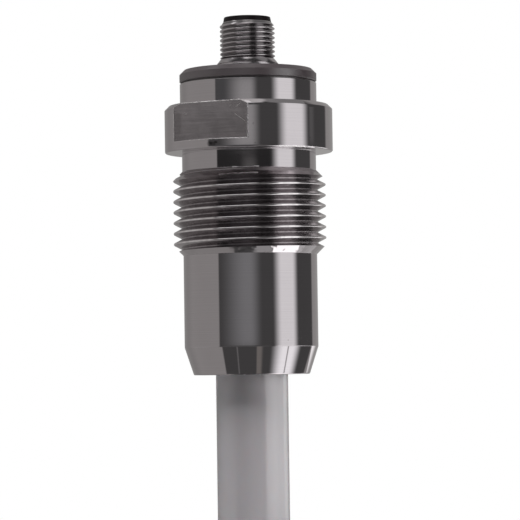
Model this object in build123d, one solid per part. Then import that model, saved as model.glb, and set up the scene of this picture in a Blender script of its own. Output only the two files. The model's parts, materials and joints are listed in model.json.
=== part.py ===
# A capacitive level probe: a turned housing with a G1 thread, a sheathed rod and an M12 connector.
# Millimetres. +Z runs up the axis, towards the connector.
# The origin is on the axis at the sealing edge, where the nose meets the sealing cone.
from build123d import *
from math import ceil, radians, sqrt, tan
import os

# Process thread, G1 parallel pipe thread
thread_major_d = 33.249
thread_pitch = 2.309
thread_flank_angle = 27.5  # one flank, from the plane across the axis
thread_length = 18.3  # with the chamfers at both ends
thread_cutter_stand = 0.18  # beyond the crests

# Housing, outside
cone_end_d = 25.2
cone_length = 6.0
nose_d = 29.1
nose_length = 20.0
neck_d = 29.2
neck_length = 4.0
collar_d = 36.6
collar_length = 10.25
collar_chamfer = 0.95
flats_across = 31.7
flats_length = 8.25  # from the collar's top downwards
flats_corner_r = 0.4
tube_d = 29.8
tube_length = 4.85
edge_break = 0.2

# Housing, inside
sheath_clearance = 0.15  # radial, in the nose bore
gland_shoulder_z = 6.0
gland_bore_d = 19.0
gland_bore_length = 13.0
board_bore_d = 21.4
cap_bore_d = 22.7
cap_bore_clearance = 0.1  # below the cap's spigot

# Probe rod
sheath_d = 15.7
rod_length = 150.0  # below the housing's end face
sheath_flange_clearance = 0.2  # radial, in the gland bore
sheath_flange_length = 4.0
sheath_neck_d = 12.0
sheath_neck_length = 8.0
tip_wall = 8.0
electrode_d = 8.0
electrode_chamfer = 1.0
stud_d = 5.0
stud_end = 1.0  # beyond the nut

# Seals between the sheath and the nose bore
seal_groove_d = 19.2
seal_groove_width = 2.3
seal_groove_z = (-1.6, 2.6)  # middle of each groove
seal_side_clearance = 0.15
seal_corner_share = 0.3  # corner cut of a pressed ring, of its section's smaller side

# Gland
thrust_washer_length = 1.0
gland_nut_length = 6.0
gland_running_clearance = 0.2  # radial, on the sheath's neck
spanner_slot_width = 3.0
spanner_slot_depth = 2.5

# Electrode connection
bush_spigot_length = 2.0
bush_flange_d = 14.0
bush_flange_length = 2.5
stud_clearance = 0.1
electrode_washer_d = 10.0
electrode_washer_length = 1.0
tag_ring_d = 9.0
tag_thickness = 0.5
tag_width = 3.0
tag_overlap = 4.0  # on the board
spring_washer_d = 8.6
spring_washer_length = 1.2
spring_washer_slit = 0.8
electrode_nut_across = 8.0
electrode_nut_length = 4.0

# Board carrier
carrier_clearance = 0.1  # radial, in the board bore
carrier_wall = 0.8
rail_depth = 1.0  # how far a rail covers the board's edge
rail_wall = 1.0
slot_clearance = 0.05
earth_window_width = 4.0
earth_window_length = 9.0

# Main board
board_y = 5.0  # its inner face
board_thickness = 1.6
board_half_width = 6.9
board_gap = 1.0  # above the stud
board_length = 21.8
tab_width = 8.0
tab_stand = 0.6  # above the connector board

# Cap
cap_d = 29.9
cap_length = 2.7
cap_chamfer = 1.0
shadow_gap = 0.3
shadow_gap_d = 28.6
cap_spigot_length = 5.0
cap_pocket_d = 18.4
cap_plate = 2.0
cap_groove_d = 20.5
cap_groove_width = 1.9
cap_groove_drop = 1.4  # below the tube's end

# Connector
connector_thread_d = 12.0
connector_thread_top = 0.95  # height of the end chamfer
connector_top_d = 10.4
connector_height = 10.5  # metal, above the cap
connector_foot_d = 14.0
connector_foot_length = 1.05
foot_groove_d = 13.0
foot_groove_width = 0.2
foot_cone_d = 13.5
foot_cone_length = 1.15
foot_relief_d = 10.6
foot_relief_width = 0.1
connector_tail_d = 11.0
connector_tail_length = 5.0
tail_clearance = 0.05
connector_nut_across = 14.0
connector_nut_length = 2.5
connector_seal_inner_d = 11.6
connector_seal_outer_d = 13.4
connector_seal_depth = 0.8

# Contact insert
insert_d = 10.0
insert_rim_low_d = 10.5
insert_rim_top_d = 10.1
insert_rim_length = 1.0
insert_lift = 1.0  # of its lower end, above the shell's tail end
cavity_d = 8.6
cavity_depth = 8.5
key_width = 1.2
key_depth = 0.8
key_drop = 1.0  # of the key's end, below the rim
contact_circle_d = 5.66
contact_count = 4
contact_d = 1.0
contact_nose = 0.25
contact_drop = 2.2  # of the tips, below the rim
contact_collar_d = 1.4
contact_collar_length = 3.0
contact_collar_drop = 3.5  # of the collar's shoulder, below the cavity's floor
contact_tail_d = 0.8

# Connector board
connector_board_clearance = 0.3  # radial, in the cap's pocket
connector_board_thickness = 1.0
connector_board_gap = 1.4  # below the shell's tail
contact_tail_stand = 1.2  # of the tails, below the board

# Parts on the main board: width, height and thickness, then the place of the middle,
# across the board and up from its lower edge
chip_size = (4.4, 5.2, 1.2)
chip_place = (0, 11.0)
chip_legs = 8
chip_leg_pitch = 0.65
chip_leg_width = 0.26
regulator_size = (6.0, 3.5, 1.6)
regulator_place = (0, 16.5)
regulator_legs = 3
regulator_leg_pitch = 1.2
regulator_leg_width = 0.5
transistor_size = (1.8, 2.9, 1.1)
transistor_place = (3.5, 17.5)
transistor_legs = 2
transistor_leg_pitch = 1.9
transistor_leg_width = 0.7
leg_reach = 0.9
leg_metal = 0.2
inductor_size = (4.0, 4.0, 1.5)
inductor_place = (3.7, 5.0)
inductor_plate = 0.4
inductor_corner = 0.8
inductor_waist_d = 3.4
capacitor_size = (3.2, 1.6, 1.3)
capacitor_places = ((-3.6, 4.5), (-3.6, 6.9), (-3.6, 18.5))
diode_size = (2.6, 4.2, 1.8)
diode_places = ((-3.4, 9.5), (3.4, 9.5))

# Earth clip
earth_clip_metal = 0.3
earth_clip_width = 3.0
earth_clip_lift = 3.0  # of its foot, above the board's lower edge
earth_foot_length = 2.5
earth_rise = 2.5
earth_tip_back = 1.2
earth_tip_length = 2.0
earth_window_margin = 1.0  # below the clip

# Levels up the axis
nose_end_z = -cone_length
thread_low_z = nose_length
thread_high_z = thread_low_z + thread_length
collar_low_z = thread_high_z + neck_length
collar_high_z = collar_low_z + collar_length
tube_top_z = collar_high_z + tube_length
cap_low_z = tube_top_z + shadow_gap
cap_top_z = cap_low_z + cap_length
spigot_low_z = tube_top_z - cap_spigot_length
pocket_top_z = cap_top_z - cap_plate
gland_top_z = gland_shoulder_z + gland_bore_length
rod_tip_z = nose_end_z - rod_length
flange_top_z = gland_shoulder_z + sheath_flange_length
sheath_top_z = flange_top_z + sheath_neck_length
electrode_top_z = sheath_top_z - bush_spigot_length
gland_nut_low_z = flange_top_z + thrust_washer_length
bush_top_z = sheath_top_z + bush_flange_length
tag_low_z = bush_top_z + electrode_washer_length
spring_low_z = tag_low_z + tag_thickness
nut_low_z = spring_low_z + spring_washer_length
stud_top_z = nut_low_z + electrode_nut_length + stud_end
board_low_z = stud_top_z + board_gap
board_high_z = board_low_z + board_length
shell_top_z = cap_top_z + connector_height
tail_end_z = cap_top_z - connector_tail_length
rim_top_z = shell_top_z + insert_rim_length
cavity_floor_z = rim_top_z - cavity_depth
connector_board_top_z = tail_end_z - connector_board_gap
connector_board_low_z = connector_board_top_z - connector_board_thickness
board_outer_y = board_y + board_thickness
earth_clip_low_z = board_low_z + earth_clip_lift

inner_face = Plane(origin=(0, board_y, 0), x_dir=(1, 0, 0), z_dir=(0, -1, 0))
outer_face = Plane(origin=(0, board_outer_y, 0), x_dir=(-1, 0, 0), z_dir=(0, 1, 0))
on_base = (Align.CENTER, Align.CENTER, Align.MIN)


def turned(*points):
    # A solid of revolution from the (radius, height) points of its half section.
    return revolve(Plane.XZ * make_face(Polyline(*points, close=True)), Axis.Z)


def ring(inner_d, outer_d, low, high):
    inner_r = inner_d / 2
    outer_r = outer_d / 2
    return turned((inner_r, low), (outer_r, low), (outer_r, high), (inner_r, high))


def disc(diameter, low, high):
    return Pos(0, 0, low) * Cylinder(diameter / 2, high - low, align=on_base)


def seal_ring(inner_d, outer_d, low, high):
    # An O-ring pressed flat where it touches its groove and its mate.
    width = (outer_d - inner_d) / 2
    height = high - low
    section = chamfer(Rectangle(width, height).vertices(), seal_corner_share * min(width, height))
    return revolve(Plane.XZ * Pos((inner_d + outer_d) / 4, (low + high) / 2) * section, Axis.Z)


def hex_nut(across, bore_d, low, length):
    # A hexagon with its corners turned off at 30 degrees on both faces.
    corner_r = across / sqrt(3)
    flat_r = across / 2
    drop = (corner_r - flat_r) * tan(radians(30))
    blank = Pos(0, 0, low) * extrude(RegularPolygon(corner_r, 6), length)
    high = low + length
    crown = turned(
        (0, low),
        (flat_r, low),
        (corner_r, low + drop),
        (corner_r, high - drop),
        (flat_r, high),
        (0, high),
    )
    return (blank & crown) - disc(bore_d, low, high)


def thread_groove():
    # The groove between two crests, one turn at a time: a 55-degree vee with a flat root.
    triangle = thread_pitch / (2 * tan(radians(thread_flank_angle)))
    root_r = thread_major_d / 2 - triangle * 2 / 3
    sharp_root_r = root_r - triangle / 6
    mouth_r = thread_major_d / 2 + thread_cutter_stand
    slope = tan(radians(thread_flank_angle))
    corners = [
        (root_r, -(root_r - sharp_root_r) * slope),
        (mouth_r, -(mouth_r - sharp_root_r) * slope),
        (mouth_r, (mouth_r - sharp_root_r) * slope),
        (root_r, (root_r - sharp_root_r) * slope),
    ]

    def one_turn(start):
        helices = []
        for radius, height in corners:
            middle = (0, 0, start + height)
            helices.append(Edge.make_helix(thread_pitch, thread_pitch, radius, center=middle))
        sides = [Face.make_surface_from_curves(helices[i], helices[i - 1]) for i in range(len(helices))]
        ends = [Face(Wire.make_polygon([h.position_at(at) for h in helices], close=True)) for at in (0, 1)]
        return Solid(Shell(sides + ends))

    turns = ceil(thread_length / thread_pitch) + 2
    return [one_turn(thread_low_z + (k - 1) * thread_pitch) for k in range(turns)]


def threaded_section():
    # A right-hand thread, chamfered to the nose at one end and to the neck at the other.
    crest_r = thread_major_d / 2
    nose_r = nose_d / 2
    neck_r = neck_d / 2
    blank = turned(
        (0, thread_low_z),
        (nose_r, thread_low_z),
        (crest_r, thread_low_z + crest_r - nose_r),
        (crest_r, thread_high_z - crest_r + neck_r),
        (neck_r, thread_high_z),
        (0, thread_high_z),
    )
    return blank - thread_groove()


def process_housing():
    # Turned from one bar: cone, nose, thread, neck, collar and tube.
    nose_r = nose_d / 2
    neck_r = neck_d / 2
    collar_r = collar_d / 2
    tube_r = tube_d / 2
    nose = turned(
        (0, nose_end_z),
        (cone_end_d / 2, nose_end_z),
        (nose_r, 0),
        (nose_r, nose_length),
        (0, nose_length),
    )
    head = turned(
        (0, thread_high_z),
        (neck_r, thread_high_z),
        (neck_r, collar_low_z),
        (collar_r - edge_break, collar_low_z),
        (collar_r, collar_low_z + edge_break),
        (collar_r, collar_high_z - collar_chamfer),
        (collar_r - collar_chamfer, collar_high_z),
        (tube_r, collar_high_z),
        (tube_r, tube_top_z - edge_break),
        (tube_r - edge_break, tube_top_z),
        (0, tube_top_z),
    )
    for side in (-1, 1):
        head -= flat_cut(side)
    body = nose + threaded_section() + head
    return body - housing_bore()


def flat_cut(side):
    # The cutter that mills one wrench flat, with its corner radius at the ledge.
    depth = collar_d - flats_across
    middle = Pos(0, side * (flats_across + depth) / 2, collar_high_z - flats_length)
    cutter = middle * Box(2 * collar_d, depth, 2 * flats_length, align=on_base)
    corner = cutter.edges().filter_by(Axis.X).sort_by(Axis.Z)[:2].sort_by(lambda e: abs(e.center().Y))[0]
    return fillet(corner, flats_corner_r)


def housing_bore():
    probe_r = sheath_d / 2 + sheath_clearance
    gland_r = gland_bore_d / 2
    board_r = board_bore_d / 2
    cap_r = cap_bore_d / 2
    cap_bore_low_z = spigot_low_z - cap_bore_clearance
    bore = turned(
        (0, nose_end_z),
        (probe_r + edge_break, nose_end_z),
        (probe_r, nose_end_z + edge_break),
        (probe_r, gland_shoulder_z),
        (gland_r, gland_shoulder_z),
        (gland_r, gland_top_z),
        (board_r, gland_top_z),
        (board_r, cap_bore_low_z),
        (cap_r, cap_bore_low_z),
        (cap_r, tube_top_z),
        (0, tube_top_z),
    )
    for middle in seal_groove_z:
        bore += disc(seal_groove_d, middle - seal_groove_width / 2, middle + seal_groove_width / 2)
    return bore


def probe_sheath():
    # Closed at the tip, with a flange that seats on the housing's shoulder and a neck above it.
    sheath_r = sheath_d / 2
    flange_r = gland_bore_d / 2 - sheath_flange_clearance
    neck_r = sheath_neck_d / 2
    straight = Polyline(
        (sheath_r, rod_tip_z + sheath_r),
        (sheath_r, gland_shoulder_z),
        (flange_r, gland_shoulder_z),
        (flange_r, flange_top_z),
        (neck_r, flange_top_z),
        (neck_r, sheath_top_z),
        (0, sheath_top_z),
        (0, rod_tip_z),
    )
    dome = ThreePointArc(
        (0, rod_tip_z),
        (sheath_r * sqrt(0.5), rod_tip_z + sheath_r * (1 - sqrt(0.5))),
        (sheath_r, rod_tip_z + sheath_r),
    )
    body = revolve(Plane.XZ * make_face(dome + straight), Axis.Z)
    return body - electrode_rod()


def electrode_rod():
    electrode_r = electrode_d / 2
    low = rod_tip_z + tip_wall
    return turned(
        (0, low),
        (electrode_r - electrode_chamfer, low),
        (electrode_r, low + electrode_chamfer),
        (electrode_r, sheath_top_z),
        (0, sheath_top_z),
    )


def electrode_core():
    # The rod up to the bush, then a threaded stud.
    rod = electrode_rod() - disc(sheath_d, electrode_top_z, sheath_top_z)
    stud = chamfer(disc(stud_d, electrode_top_z, stud_top_z).edges().sort_by(Axis.Z)[-1], edge_break)
    return rod + stud


def sheath_seal(middle):
    half = seal_groove_width / 2 - seal_side_clearance
    return seal_ring(sheath_d, seal_groove_d, middle - half, middle + half)


def thrust_washer():
    outer_d = gland_bore_d - 2 * sheath_flange_clearance
    return ring(sheath_neck_d + 2 * gland_running_clearance, outer_d, flange_top_z, gland_nut_low_z)


def gland_nut():
    high = gland_nut_low_z + gland_nut_length
    nut = ring(sheath_neck_d + 2 * gland_running_clearance, gland_bore_d, gland_nut_low_z, high)
    slot = Box(gland_bore_d, spanner_slot_width, spanner_slot_depth, align=on_base)
    return nut - Pos(0, 0, high - spanner_slot_depth) * slot


def insulating_bush():
    bore_r = stud_d / 2 + stud_clearance
    spigot_r = electrode_d / 2
    flange_r = bush_flange_d / 2
    return turned(
        (bore_r, electrode_top_z),
        (spigot_r, electrode_top_z),
        (spigot_r, sheath_top_z),
        (flange_r, sheath_top_z),
        (flange_r, bush_top_z),
        (bore_r, bush_top_z),
    )


def electrode_washer():
    return ring(stud_d + 2 * stud_clearance, electrode_washer_d, bush_top_z, tag_low_z)


def terminal_tag():
    # A ring under the nut with a strip that is bent up against the board.
    hole_d = stud_d + 2 * stud_clearance
    strip_top_z = board_low_z + tag_overlap
    corner_y = board_y - tag_thickness
    profile = Polyline(
        (0, tag_low_z),
        (board_y, tag_low_z),
        (board_y, strip_top_z),
        (corner_y, strip_top_z),
        (corner_y, spring_low_z),
        (0, spring_low_z),
        close=True,
    )
    strip = Pos(-tag_width / 2, 0, 0) * extrude(Plane.YZ * make_face(profile), tag_width)
    bend = strip.edges().filter_by(Axis.X).sort_by_distance((0, board_y, tag_low_z))[0]
    tag = fillet(bend, tag_thickness) + disc(tag_ring_d, tag_low_z, spring_low_z)
    return tag - disc(hole_d, tag_low_z, spring_low_z)


def spring_washer():
    washer = ring(stud_d + 2 * stud_clearance, spring_washer_d, spring_low_z, nut_low_z)
    slit = Box(spring_washer_d, spring_washer_slit, spring_washer_length, align=on_base)
    return washer - Pos(spring_washer_d / 2, 0, spring_low_z) * slit


def electrode_nut():
    return hex_nut(electrode_nut_across, stud_d, nut_low_z, electrode_nut_length)


def board_carrier():
    # A sleeve from the housing's shoulder to the cap's spigot, with a slotted rail on each side.
    outer_d = board_bore_d - 2 * carrier_clearance
    inner_d = outer_d - 2 * carrier_wall
    sleeve = ring(inner_d, outer_d, gland_top_z, spigot_low_z)
    slot_width = board_thickness + 2 * slot_clearance
    middle_y = board_y + board_thickness / 2
    rail_low_z = board_low_z - rail_wall
    rail_length = board_length + rail_wall
    rail_face_x = board_half_width - rail_depth
    rail = Box(outer_d, slot_width + 2 * rail_wall, rail_length, align=on_base)
    for side in (-1, 1):
        block = Pos(side * (rail_face_x + outer_d / 2), middle_y, rail_low_z) * rail
        sleeve += block & disc(inner_d + carrier_wall, rail_low_z, rail_low_z + rail_length)
    slot_length = 2 * (board_half_width + slot_clearance)
    slot = Box(slot_length, slot_width, rail_length, align=on_base)
    window = Box(earth_window_width, outer_d / 2, earth_window_length, align=on_base)
    sleeve -= Pos(0, middle_y, board_low_z) * slot
    return sleeve - Pos(0, outer_d / 2, earth_clip_low_z - earth_window_margin) * window


def main_board():
    # A narrow tab at the top passes through the connector board.
    board = Box(2 * board_half_width, board_thickness, board_length, align=on_base)
    tab_length = connector_board_top_z + tab_stand - board_high_z
    tab = Pos(0, 0, board_length) * Box(tab_width, board_thickness, tab_length, align=on_base)
    return Pos(0, board_y + board_thickness / 2, board_low_z) * (board + tab)


def on_board(face, place):
    across, up = place
    return face * Pos(across, board_low_z + up)


def surface_part(face, place, size):
    return on_board(face, place) * Box(*size, align=on_base)


def legged_part(face, place, size, legs, leg_pitch, leg_width):
    # A moulded body on bent legs, in a row down each side.
    width, height, thickness = size
    body = Pos(0, 0, leg_metal) * Box(width, height, thickness - leg_metal, align=on_base)
    leg_line = Polyline(
        (0, thickness / 2),
        (leg_reach - leg_metal, thickness / 2),
        (leg_reach - leg_metal, 0),
        (leg_reach, 0),
        (leg_reach, thickness / 2 + leg_metal),
        (0, thickness / 2 + leg_metal),
        close=True,
    )
    leg = Pos(width / 2, leg_width / 2, 0) * extrude(Plane.XZ * make_face(leg_line), leg_width)
    for spot in GridLocations(0, leg_pitch, 1, legs):
        body += spot * leg
        body += spot * Rot(0, 0, 180) * leg
    return on_board(face, place) * body


def measuring_chip():
    return legged_part(inner_face, chip_place, chip_size, chip_legs, chip_leg_pitch, chip_leg_width)


def voltage_regulator():
    pitch, width = regulator_leg_pitch, regulator_leg_width
    return legged_part(outer_face, regulator_place, regulator_size, regulator_legs, pitch, width)


def output_transistor():
    pitch, width = transistor_leg_pitch, transistor_leg_width
    return legged_part(inner_face, transistor_place, transistor_size, transistor_legs, pitch, width)


def inductor():
    # A round waist between two square ferrite plates with cut corners.
    width, height, thickness = inductor_size
    plate = extrude(chamfer(Rectangle(width, height).vertices(), inductor_corner), inductor_plate)
    body = plate + disc(inductor_waist_d, 0, thickness) + Pos(0, 0, thickness - inductor_plate) * plate
    return on_board(inner_face, inductor_place) * body


def earth_clip():
    # A leaf soldered to the board's outer face that presses on the housing's bore.
    half_width = earth_clip_width / 2
    bore_y = sqrt((board_bore_d / 2) ** 2 - half_width**2) - earth_clip_metal / 2
    foot_y = board_outer_y + earth_clip_metal / 2
    foot_top_z = earth_clip_low_z + earth_foot_length
    crown_z = foot_top_z + earth_rise
    path = Polyline(
        (foot_y, earth_clip_low_z),
        (foot_y, foot_top_z),
        (bore_y, crown_z),
        (bore_y - earth_tip_back, crown_z + earth_tip_length),
    )
    leaf = Plane.YZ * trace(path, earth_clip_metal)
    return Pos(-half_width, 0, 0) * extrude(leaf, earth_clip_width)


def end_cap():
    # Screwed in by its spigot, with a fine shadow gap above the housing's edge.
    cap_r = cap_d / 2
    cap = turned(
        (0, spigot_low_z),
        (cap_bore_d / 2, spigot_low_z),
        (cap_bore_d / 2, tube_top_z),
        (shadow_gap_d / 2, tube_top_z),
        (shadow_gap_d / 2, cap_low_z),
        (cap_r - edge_break, cap_low_z),
        (cap_r, cap_low_z + edge_break),
        (cap_r, cap_top_z - cap_chamfer),
        (cap_r - cap_chamfer, cap_top_z),
        (0, cap_top_z),
    )
    cap -= disc(cap_pocket_d, spigot_low_z, pocket_top_z)
    cap -= disc(connector_tail_d + 2 * tail_clearance, pocket_top_z, cap_top_z)
    cap -= ring(connector_seal_inner_d, connector_seal_outer_d, cap_top_z - connector_seal_depth, cap_top_z)
    groove_top_z = tube_top_z - cap_groove_drop
    return cap - ring(cap_groove_d, cap_bore_d, groove_top_z - cap_groove_width, groove_top_z)


def cap_seal_ring():
    high = tube_top_z - cap_groove_drop - seal_side_clearance
    low = high - cap_groove_width + 2 * seal_side_clearance
    return seal_ring(cap_groove_d, cap_bore_d, low, high)


def connector_seal_ring():
    low = cap_top_z - connector_seal_depth
    return seal_ring(connector_seal_inner_d, connector_seal_outer_d, low, cap_top_z)


def connector_shell():
    # From the tail below the cap to the chamfered mouth; the fine thread is left plain.
    bore_r = insert_d / 2
    tail_r = connector_tail_d / 2
    foot_r = connector_foot_d / 2
    relief_r = foot_relief_d / 2
    thread_r = connector_thread_d / 2
    foot_top_z = cap_top_z + connector_foot_length
    cone_low_z = foot_top_z + foot_groove_width
    cone_top_z = cone_low_z + foot_cone_length
    thread_low = cone_top_z + foot_relief_width
    return turned(
        (bore_r, tail_end_z),
        (tail_r, tail_end_z),
        (tail_r, cap_top_z),
        (foot_r, cap_top_z),
        (foot_r, foot_top_z),
        (foot_groove_d / 2, foot_top_z),
        (foot_groove_d / 2, cone_low_z),
        (foot_cone_d / 2, cone_low_z),
        (relief_r, cone_top_z),
        (relief_r, thread_low),
        (thread_r, thread_low),
        (thread_r, shell_top_z - connector_thread_top),
        (connector_top_d / 2, shell_top_z),
        (bore_r, shell_top_z),
    )


def connector_nut():
    low = pocket_top_z - connector_nut_length
    return hex_nut(connector_nut_across, connector_tail_d, low, connector_nut_length)


def contact_places():
    return PolarLocations(contact_circle_d / 2, contact_count)


def contact_carrier():
    # A plug insert: a thick floor that holds the contacts, a round cavity and a coding key.
    low = tail_end_z + insert_lift
    body = turned(
        (0, low),
        (insert_d / 2, low),
        (insert_d / 2, shell_top_z),
        (insert_rim_low_d / 2, shell_top_z),
        (insert_rim_top_d / 2, rim_top_z),
        (0, rim_top_z),
    )
    body -= disc(cavity_d, cavity_floor_z, rim_top_z)
    key_length = cavity_depth - key_drop
    key = Pos(cavity_d / 2, 0, cavity_floor_z) * Box(2 * key_depth, key_width, key_length, align=on_base)
    body += (Rot(0, 0, 180 / contact_count) * key) & disc(insert_d, cavity_floor_z, rim_top_z)
    shoulder_z = cavity_floor_z - contact_collar_drop
    for place in contact_places():
        body -= place * disc(contact_d, low, cavity_floor_z)
        body -= place * disc(contact_collar_d, low, shoulder_z)
    return body


def contact_pin():
    # A round-nosed contact with a collar that is pressed into the insert, and a soldering tail.
    collar_top_z = cavity_floor_z - contact_collar_drop
    collar_low_z = collar_top_z - contact_collar_length
    tip_z = rim_top_z - contact_drop
    tail_z = connector_board_low_z - contact_tail_stand
    tail_r = contact_tail_d / 2
    collar_r = contact_collar_d / 2
    contact_r = contact_d / 2
    return turned(
        (0, tail_z),
        (tail_r, tail_z),
        (tail_r, collar_low_z),
        (collar_r, collar_low_z),
        (collar_r, collar_top_z),
        (contact_r, collar_top_z),
        (contact_r, tip_z - contact_nose),
        (contact_r - contact_nose, tip_z),
        (0, tip_z),
    )


def connector_board():
    board_d = cap_pocket_d - 2 * connector_board_clearance
    board = disc(board_d, connector_board_low_z, connector_board_top_z)
    slot_width = board_thickness + 2 * slot_clearance
    slot = Box(tab_width + 2 * slot_clearance, slot_width, connector_board_thickness, align=on_base)
    board -= Pos(0, board_y + board_thickness / 2, connector_board_low_z) * slot
    for place in contact_places():
        board -= place * disc(contact_tail_d, connector_board_low_z, connector_board_top_z)
    return board


nodes = {
    "process_housing": process_housing(),
    "end_cap": end_cap(),
    "cap_seal_ring": cap_seal_ring(),
    "connector_shell": connector_shell(),
    "connector_seal_ring": connector_seal_ring(),
    "connector_nut": connector_nut(),
    "contact_carrier": contact_carrier(),
    "connector_board": connector_board(),
    "main_board": main_board(),
    "board_carrier": board_carrier(),
    "measuring_chip": measuring_chip(),
    "voltage_regulator": voltage_regulator(),
    "output_transistor": output_transistor(),
    "inductor": inductor(),
    "earth_clip": earth_clip(),
    "probe_sheath": probe_sheath(),
    "electrode_core": electrode_core(),
    "thrust_washer": thrust_washer(),
    "gland_nut": gland_nut(),
    "insulating_bush": insulating_bush(),
    "electrode_washer": electrode_washer(),
    "terminal_tag": terminal_tag(),
    "spring_washer": spring_washer(),
    "electrode_nut": electrode_nut(),
}
for number, middle in enumerate(seal_groove_z, start=1):
    nodes[f"sheath_seal_ring_{number}"] = sheath_seal(middle)
for number, place in enumerate(contact_places(), start=1):
    nodes[f"contact_pin_{number}"] = place * contact_pin()
for number, place in enumerate(capacitor_places, start=1):
    nodes[f"capacitor_{number}"] = surface_part(inner_face, place, capacitor_size)
for number, place in enumerate(diode_places, start=1):
    nodes[f"protection_diode_{number}"] = surface_part(outer_face, place, diode_size)

os.makedirs("parts", exist_ok=True)
for name, shape in nodes.items():
    export_step(shape, f"parts/{name}.step")
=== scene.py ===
import json
import math
import random

import bmesh
import bpy
from mathutils import Matrix, Vector


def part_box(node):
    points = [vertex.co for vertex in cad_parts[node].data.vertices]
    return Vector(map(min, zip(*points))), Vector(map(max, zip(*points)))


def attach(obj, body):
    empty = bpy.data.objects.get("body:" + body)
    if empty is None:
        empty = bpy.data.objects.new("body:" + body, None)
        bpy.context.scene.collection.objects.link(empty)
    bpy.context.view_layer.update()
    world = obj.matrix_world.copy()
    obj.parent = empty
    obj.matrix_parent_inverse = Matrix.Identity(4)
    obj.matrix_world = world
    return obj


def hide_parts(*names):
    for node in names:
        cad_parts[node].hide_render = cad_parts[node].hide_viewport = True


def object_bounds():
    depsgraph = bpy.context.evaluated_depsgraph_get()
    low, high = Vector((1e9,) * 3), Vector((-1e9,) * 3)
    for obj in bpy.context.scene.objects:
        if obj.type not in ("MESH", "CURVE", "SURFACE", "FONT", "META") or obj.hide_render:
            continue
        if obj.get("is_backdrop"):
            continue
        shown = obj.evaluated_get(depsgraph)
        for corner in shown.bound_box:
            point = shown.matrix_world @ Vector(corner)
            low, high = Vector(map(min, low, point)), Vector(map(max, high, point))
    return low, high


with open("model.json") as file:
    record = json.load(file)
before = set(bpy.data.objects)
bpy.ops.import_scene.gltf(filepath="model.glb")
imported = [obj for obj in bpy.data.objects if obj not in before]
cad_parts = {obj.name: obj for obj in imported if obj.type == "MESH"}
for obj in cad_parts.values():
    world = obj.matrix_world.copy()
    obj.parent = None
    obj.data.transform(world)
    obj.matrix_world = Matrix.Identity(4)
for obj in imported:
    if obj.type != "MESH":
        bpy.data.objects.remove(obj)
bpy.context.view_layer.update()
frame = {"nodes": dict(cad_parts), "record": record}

mm = 0.001
whole = 2 * math.pi
frontAngle = 301.0  # the side the photograph shows, in degrees from the X axis
weldGap = 2e-7  # points nearer than this become one


# A node's output that can stand in a sum
class Link:
    def __init__(self, shader, socket):
        self.shader = shader
        self.socket = socket

    def maths(self, operation, first, second):
        return self.shader.add("Math", {"operation": operation}, {0: first, 1: second})

    def __add__(self, other):
        return self.maths("ADD", self, other)

    def __radd__(self, other):
        return self.maths("ADD", other, self)

    def __sub__(self, other):
        return self.maths("SUBTRACT", self, other)

    def __rsub__(self, other):
        return self.maths("SUBTRACT", other, self)

    def __mul__(self, other):
        return self.maths("MULTIPLY", self, other)

    def __rmul__(self, other):
        return self.maths("MULTIPLY", other, self)

    def __truediv__(self, other):
        return self.maths("DIVIDE", self, other)

    def __gt__(self, other):
        return self.maths("GREATER_THAN", self, other)

    def __lt__(self, other):
        return self.maths("LESS_THAN", self, other)


# A node tree that is filled with one call per node
class Shader:
    def __init__(self, owner):
        owner.use_nodes = True
        self.owner = owner
        self.tree = owner.node_tree

    def add(self, kind, settings=None, sockets=None, output=0):
        made = self.tree.nodes.new("ShaderNode" + kind)
        for setting, value in (settings or {}).items():
            setattr(made, setting, value)
        self.feed(made, sockets or {})
        return Link(self, made.outputs[output])

    def feed(self, node, sockets):
        for name, value in sockets.items():
            if isinstance(value, Link):
                self.tree.links.new(value.socket, node.inputs[name])
            else:
                node.inputs[name].default_value = value

    def axes(self):
        place = self.add("TexCoord", output="Object")
        split = self.add("SeparateXYZ", {}, {0: place})
        return place, [Link(self, split.socket.node.outputs[k]) for k in range(3)]

    def blend(self, factor, first, second):
        sockets = {0: factor, 6: first, 7: second}
        return self.add("Mix", {"data_type": "RGBA"}, sockets, 2)

    # 1 between the middle two of four values, and 0 outside the outer two
    def within(self, value, edges):
        start, full, last, end = edges
        smooth = {"interpolation_type": "SMOOTHSTEP"}
        rise = self.add("MapRange", smooth, {0: value, 1: start, 2: full})
        fall = self.add("MapRange", smooth, {0: value, 1: end, 2: last})
        return rise * fall

    # 1 on the line between two points and out to its core, and 0 a width away from it
    def stroke(self, place, start, end, width, core=0.3):
        ahead = end - start
        smooth = {"interpolation_type": "SMOOTHSTEP"}
        along = ahead / ahead.length_squared
        away = self.add("VectorMath", {"operation": "SUBTRACT"}, {0: place, 1: start})
        share = self.add("VectorMath", {"operation": "DOT_PRODUCT"}, {0: away, 1: along}, "Value")
        held = self.add("Clamp", {}, {0: share})
        reached = self.add("VectorMath", {"operation": "SCALE"}, {0: ahead, "Scale": held})
        gap = self.add("VectorMath", {"operation": "DISTANCE"}, {0: away, 1: reached}, "Value")
        return self.add("MapRange", smooth, {0: gap, 1: width, 2: width * core})


def newMaterial(name, **settings):
    material = bpy.data.materials.new(name)
    shader = Shader(material)
    shader.surface = shader.tree.nodes["Principled BSDF"]
    shader.feed(shader.surface, {key.replace("_", " "): value for key, value in settings.items()})
    return shader


def colour(grey, warmth=0.0):
    return (grey * (1 + warmth), grey, grey * (1 - warmth), 1)


# The way the photograph looks at the probe, in metres and degrees
viewPoint = {
    "polarAngle": frontAngle,
    "distance": 0.604,
    "height": -0.0033,
    "pitch": 2.105,
    "yaw": 0.198,  # to the right of the axis
    "roll": -0.8,
    "lens": 192.1,
    "nearest": 0.01,
    "farthest": 50,
}


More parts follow.
